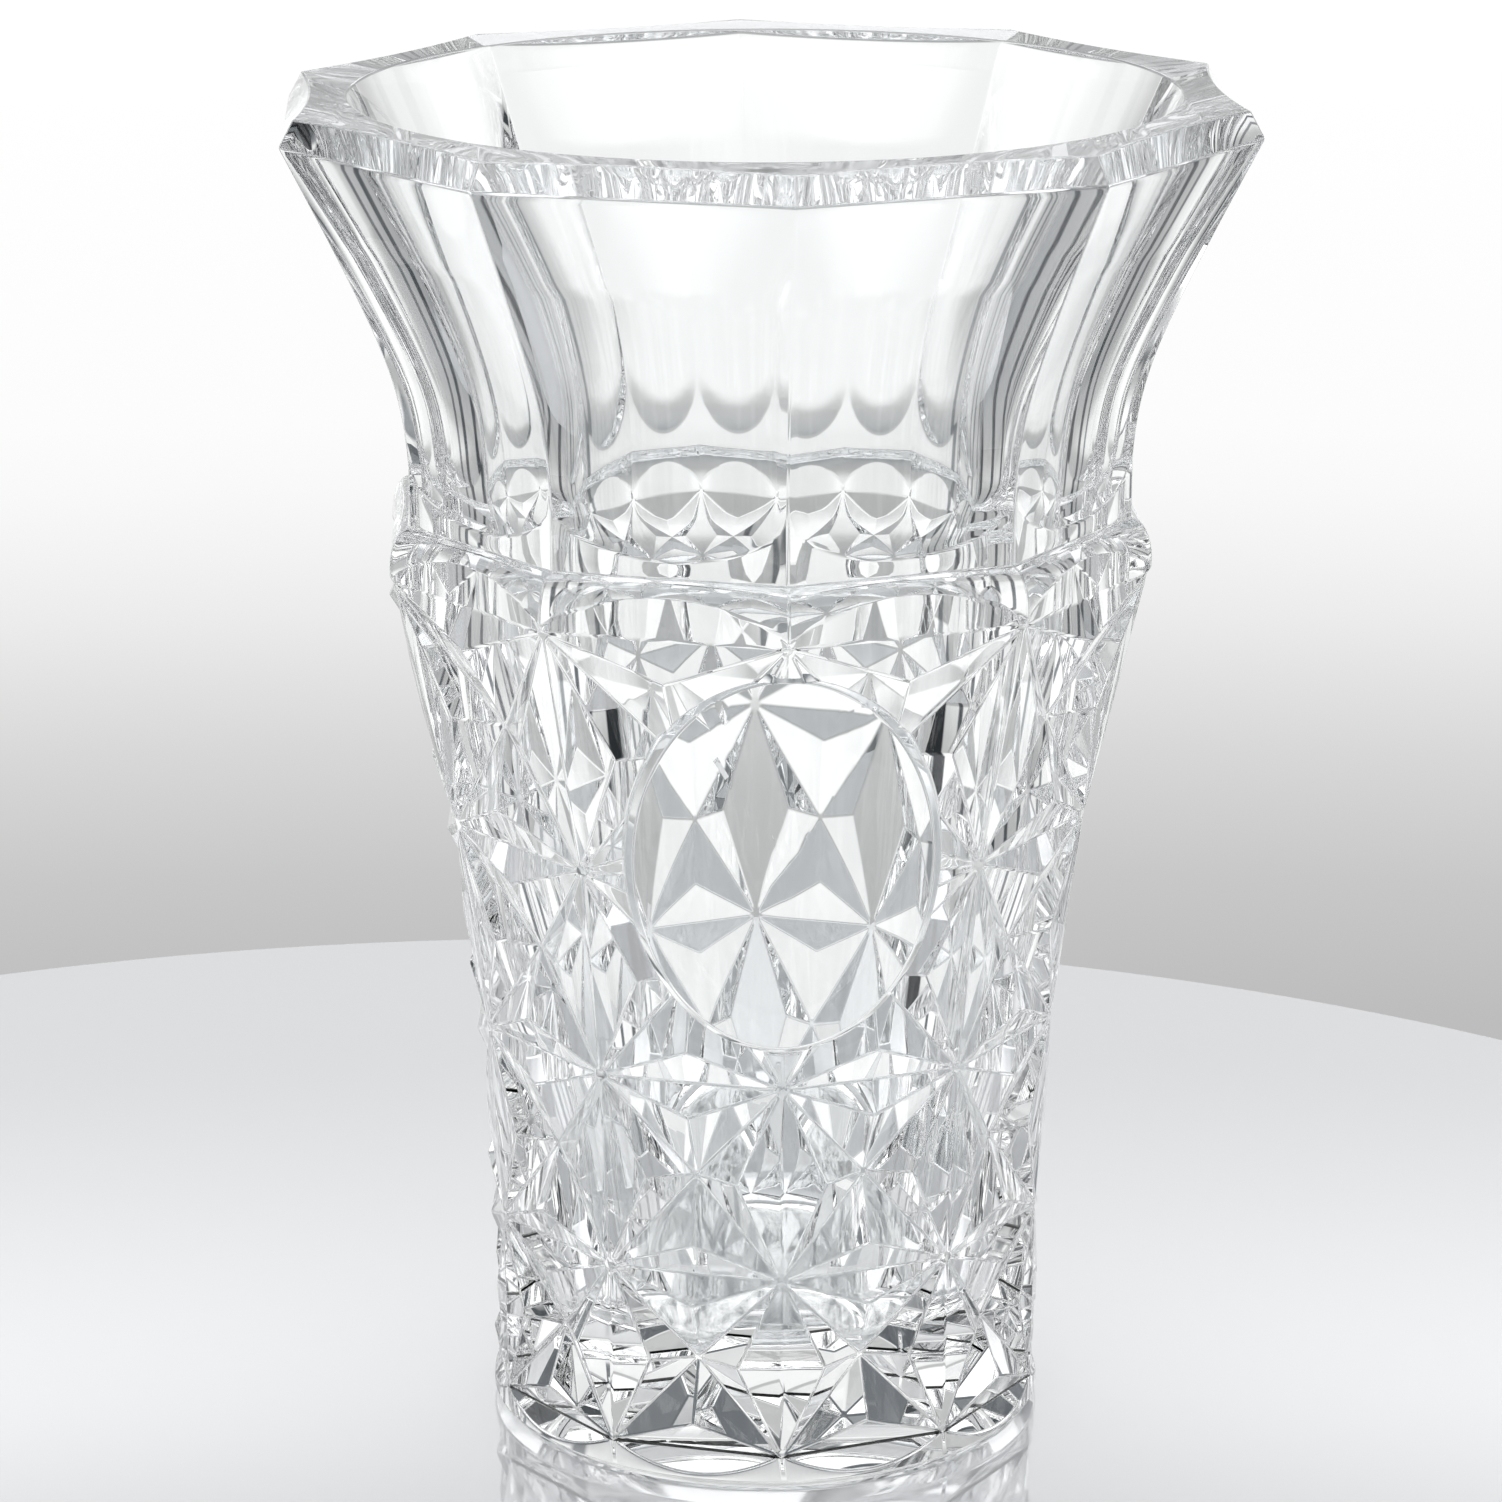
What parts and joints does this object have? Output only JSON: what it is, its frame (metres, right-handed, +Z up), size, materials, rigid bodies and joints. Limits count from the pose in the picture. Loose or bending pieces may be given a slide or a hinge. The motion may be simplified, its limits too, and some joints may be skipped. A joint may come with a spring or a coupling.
{
  "type": "cut crystal vase",
  "caption": "Clear cut crystal vase: a fluted flaring bell with a bevelled rim, a bead collar and a wall of cut stars with an oval window.",
  "frame": {"origin": "middle of the flat face the vase rests on", "axes": "+Z up along the vase's axis, -Y towards the side with the oval window, +X to the right of a person who looks at the window"},
  "size_m": [0.1726, 0.1816, 0.25],
  "materials": {
    "crystal": "polished clear lead crystal"
  },
  "bodies": {
    "root": {"base": "crystal", "lower_star_wall": "crystal", "upper_star_wall": "crystal", "oval_window": "crystal", "collar": "crystal", "fluted_bell": "crystal", "rim_band": "crystal"}
  },
  "joints": []
}
